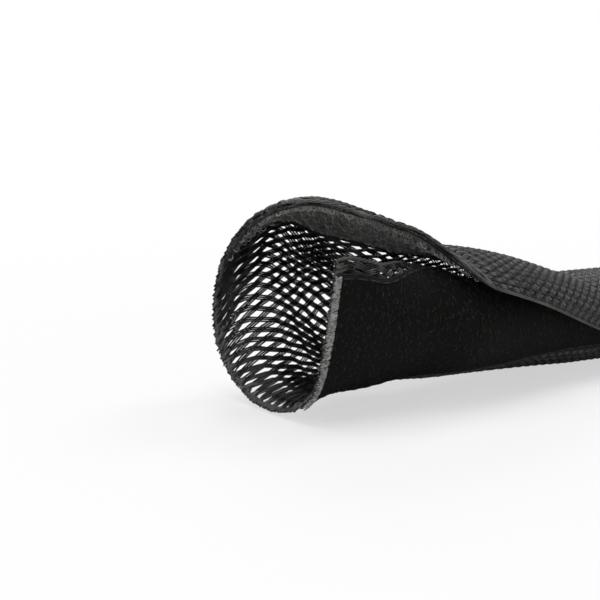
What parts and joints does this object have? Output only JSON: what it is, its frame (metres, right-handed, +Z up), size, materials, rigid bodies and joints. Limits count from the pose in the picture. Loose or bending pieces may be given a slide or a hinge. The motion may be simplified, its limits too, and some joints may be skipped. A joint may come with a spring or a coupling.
{
  "type": "hook and loop cable sleeve",
  "caption": "Wrap-around braided cable sleeve closed by hook and loop tapes along its edges, with one flared end.",
  "frame": {"origin": "middle of the sleeve's bounding box, on the ground", "axes": "+X along the sleeve from the flared mouth to the closed end, +Y to the far side, +Z up"},
  "size_m": [0.12, 0.0402, 0.0373],
  "materials": {
    "braid": "black extruded monofilament, satin",
    "loop_pile": "black brushed loop pile",
    "hook_pile": "black woven hook tape"
  },
  "bodies": {
    "root": {"braided_mesh": "braid", "loop_tape": "loop_pile", "hook_tape": "hook_pile"}
  },
  "joints": []
}
